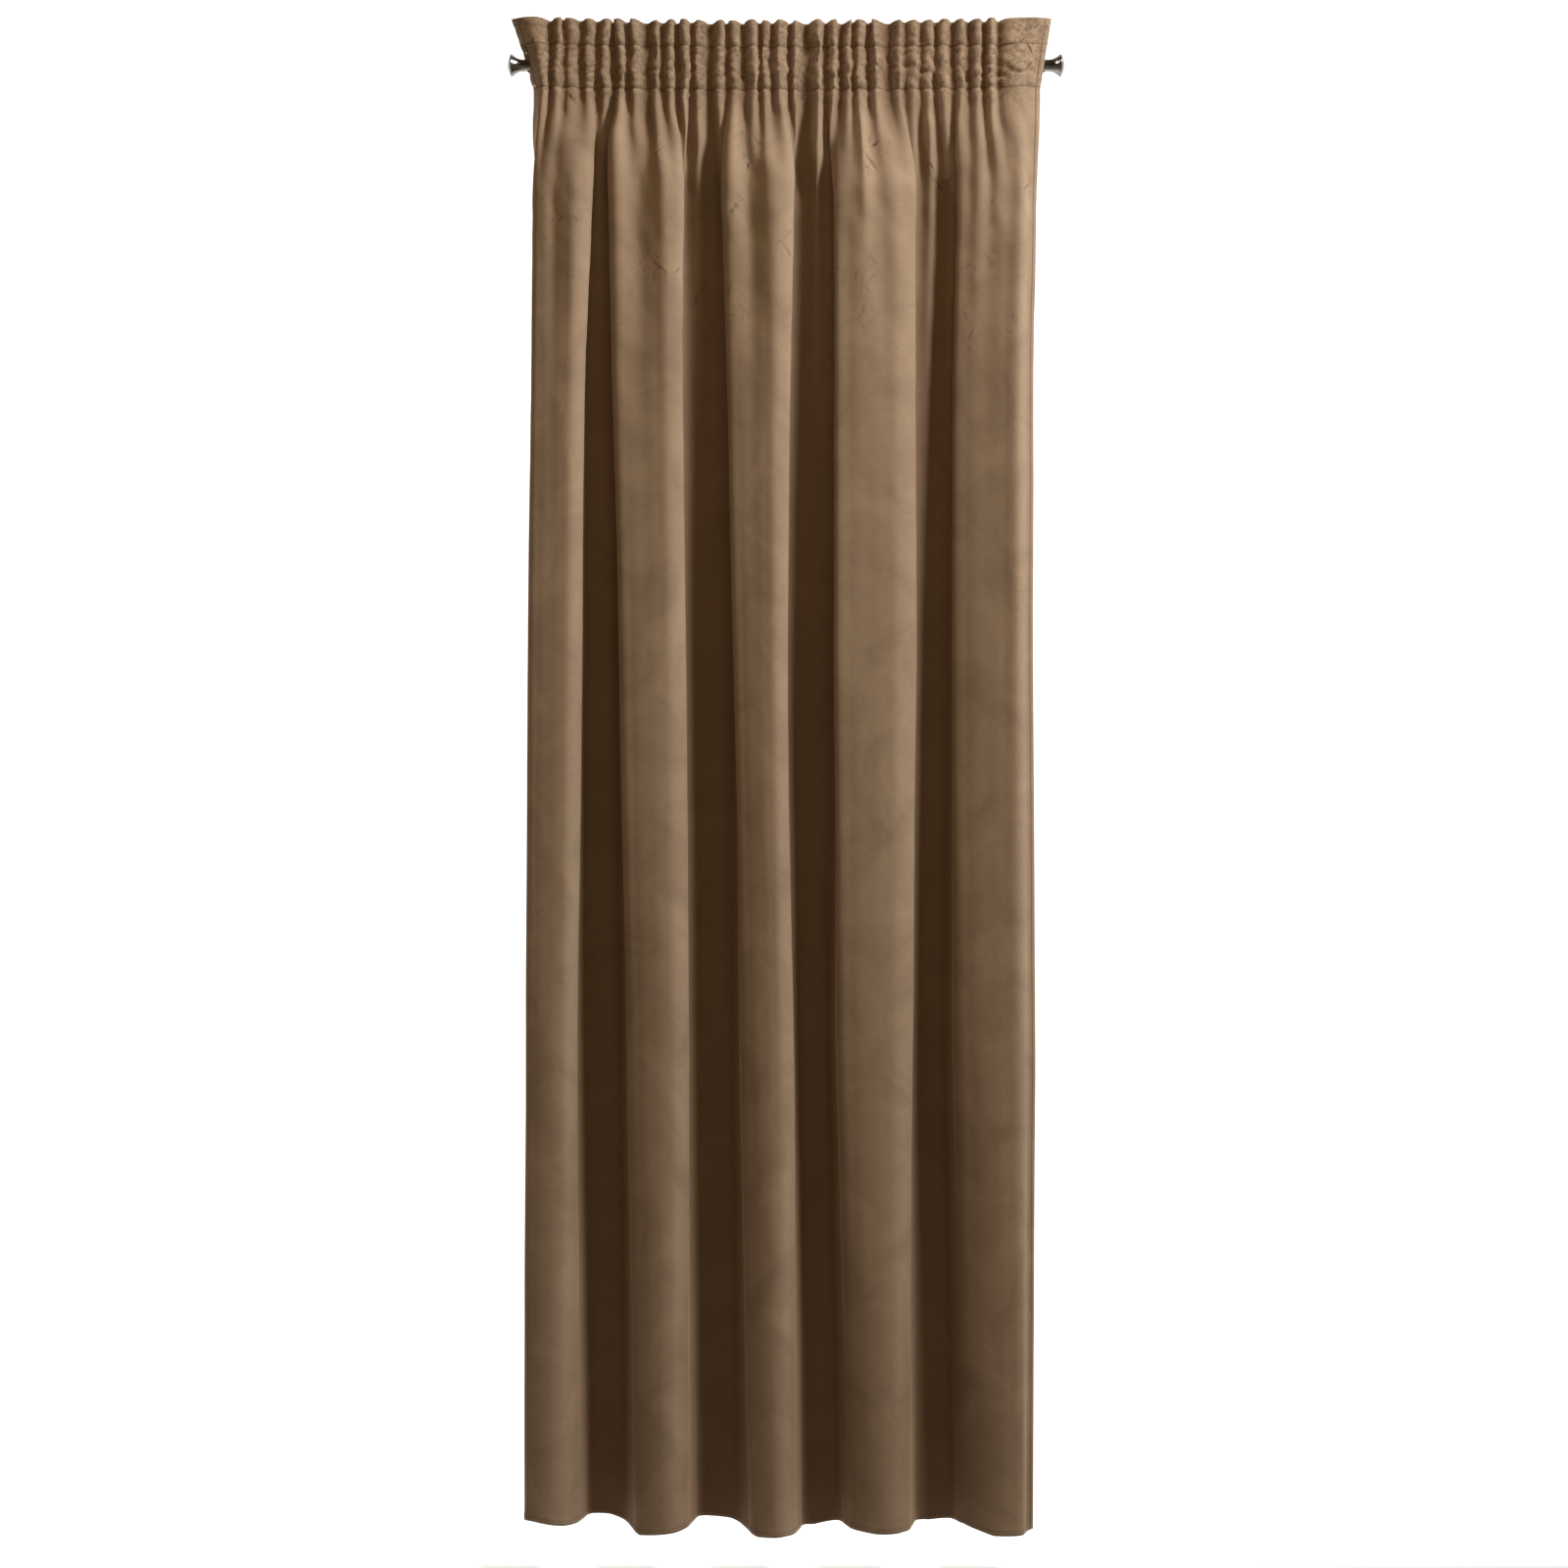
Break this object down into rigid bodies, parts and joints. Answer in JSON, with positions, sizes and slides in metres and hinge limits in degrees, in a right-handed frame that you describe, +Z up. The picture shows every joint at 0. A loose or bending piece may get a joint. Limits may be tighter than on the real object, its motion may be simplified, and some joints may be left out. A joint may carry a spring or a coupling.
{
  "type": "curtain panel",
  "caption": "Gathered velvet curtain panel whose heading tape hangs by webbing loops on a metal pole with flared finials.",
  "frame": {"origin": "on the pole's axis at its mid-length", "axes": "+Z up along the drop, +X along the pole to the right as seen from the room, +Y from the room towards the wall"},
  "size_m": [0.996, 0.1092, 2.689],
  "materials": {
    "velvet": "short-pile brown velvet",
    "webbing": "woven off-white heading tape",
    "cord": "braided white cord",
    "nickel": "polished nickel plate",
    "pole_steel": "nickel-plated tube",
    "screw_steel": "plain steel"
  },
  "bodies": {
    "pole": {"pole_tube": "pole_steel"},
    "finial_left": {"finial_left": "nickel"},
    "finial_right": {"finial_right": "nickel"},
    "grub_screw_left": {"grub_screw_left": "screw_steel"},
    "grub_screw_right": {"grub_screw_right": "screw_steel"},
    "panel": {"velvet_panel": "velvet", "heading_tape": "webbing", "draw_cord_upper": "cord", "draw_cord_middle": "cord", "draw_cord_lower": "cord", "pole_loop_15": "webbing"},
    "leading_edge": {"pole_loop_01": "webbing"},
    "loop_02": {"pole_loop_02": "webbing"},
    "loop_03": {"pole_loop_03": "webbing"},
    "loop_04": {"pole_loop_04": "webbing"},
    "loop_05": {"pole_loop_05": "webbing"},
    "loop_06": {"pole_loop_06": "webbing"},
    "loop_07": {"pole_loop_07": "webbing"},
    "loop_08": {"pole_loop_08": "webbing"},
    "loop_09": {"pole_loop_09": "webbing"},
    "loop_10": {"pole_loop_10": "webbing"},
    "loop_11": {"pole_loop_11": "webbing"},
    "loop_12": {"pole_loop_12": "webbing"},
    "loop_13": {"pole_loop_13": "webbing"},
    "loop_14": {"pole_loop_14": "webbing"}
  },
  "joints": [
    {"name": "panel_swing", "type": "hinge", "parent": "pole", "child": "panel", "pos_m": [0, 0, 0], "axis": [-1, 0, 0], "range_deg": [-2, 15]},
    {"name": "draw", "type": "slide", "parent": "panel", "child": "leading_edge", "axis": [1, 0, 0], "range_m": [0, 0.4], "deforming": ["velvet_panel", "heading_tape", "draw_cord_upper", "draw_cord_middle", "draw_cord_lower"]},
    {"name": "loop_02_slide", "type": "slide", "parent": "panel", "child": "loop_02", "axis": [1, 0, 0], "range_m": [0, 0.3947]},
    {"name": "loop_03_slide", "type": "slide", "parent": "panel", "child": "loop_03", "axis": [1, 0, 0], "range_m": [0, 0.3783]},
    {"name": "loop_04_slide", "type": "slide", "parent": "panel", "child": "loop_04", "axis": [1, 0, 0], "range_m": [0, 0.3533]},
    {"name": "loop_05_slide", "type": "slide", "parent": "panel", "child": "loop_05", "axis": [1, 0, 0], "range_m": [0, 0.3212]},
    {"name": "loop_06_slide", "type": "slide", "parent": "panel", "child": "loop_06", "axis": [1, 0, 0], "range_m": [0, 0.2839]},
    {"name": "loop_07_slide", "type": "slide", "parent": "panel", "child": "loop_07", "axis": [1, 0, 0], "range_m": [0, 0.2431]},
    {"name": "loop_08_slide", "type": "slide", "parent": "panel", "child": "loop_08", "axis": [1, 0, 0], "range_m": [0, 0.2005]},
    {"name": "loop_09_slide", "type": "slide", "parent": "panel", "child": "loop_09", "axis": [1, 0, 0], "range_m": [0, 0.1579]},
    {"name": "loop_10_slide", "type": "slide", "parent": "panel", "child": "loop_10", "axis": [1, 0, 0], "range_m": [0, 0.1171]},
    {"name": "loop_11_slide", "type": "slide", "parent": "panel", "child": "loop_11", "axis": [1, 0, 0], "range_m": [0, 0.0798]},
    {"name": "loop_12_slide", "type": "slide", "parent": "panel", "child": "loop_12", "axis": [1, 0, 0], "range_m": [0, 0.0477]},
    {"name": "loop_13_slide", "type": "slide", "parent": "panel", "child": "loop_13", "axis": [1, 0, 0], "range_m": [0, 0.0227]},
    {"name": "loop_14_slide", "type": "slide", "parent": "panel", "child": "loop_14", "axis": [1, 0, 0], "range_m": [0, 0.0063]},
    {"name": "finial_left_slide", "type": "slide", "parent": "pole", "child": "finial_left", "axis": [-1, 0, 0], "range_m": [0, 0.04]},
    {"name": "grub_screw_left_turn", "type": "hinge", "parent": "finial_left", "child": "grub_screw_left", "pos_m": [-0.461, 0, -0.0103], "axis": [0, 0, -1], "range_deg": [0, 360]},
    {"name": "finial_right_slide", "type": "slide", "parent": "pole", "child": "finial_right", "axis": [1, 0, 0], "range_m": [0, 0.04]},
    {"name": "grub_screw_right_turn", "type": "hinge", "parent": "finial_right", "child": "grub_screw_right", "pos_m": [0.461, 0, -0.0103], "axis": [0, 0, -1], "range_deg": [0, 360]}
  ],
  "couplings": [
    {"joint": "loop_02_slide", "follows": "draw", "ratio": 0.98542},
    {"joint": "loop_03_slide", "follows": "draw", "ratio": 0.94461},
    {"joint": "loop_04_slide", "follows": "draw", "ratio": 0.88192},
    {"joint": "loop_05_slide", "follows": "draw", "ratio": 0.80175},
    {"joint": "loop_06_slide", "follows": "draw", "ratio": 0.70845},
    {"joint": "loop_07_slide", "follows": "draw", "ratio": 0.60641},
    {"joint": "loop_08_slide", "follows": "draw", "ratio": 0.5},
    {"joint": "loop_09_slide", "follows": "draw", "ratio": 0.39359},
    {"joint": "loop_10_slide", "follows": "draw", "ratio": 0.29154},
    {"joint": "loop_11_slide", "follows": "draw", "ratio": 0.19825},
    {"joint": "loop_12_slide", "follows": "draw", "ratio": 0.11808},
    {"joint": "loop_13_slide", "follows": "draw", "ratio": 0.055394},
    {"joint": "loop_14_slide", "follows": "draw", "ratio": 0.014577}
  ]
}
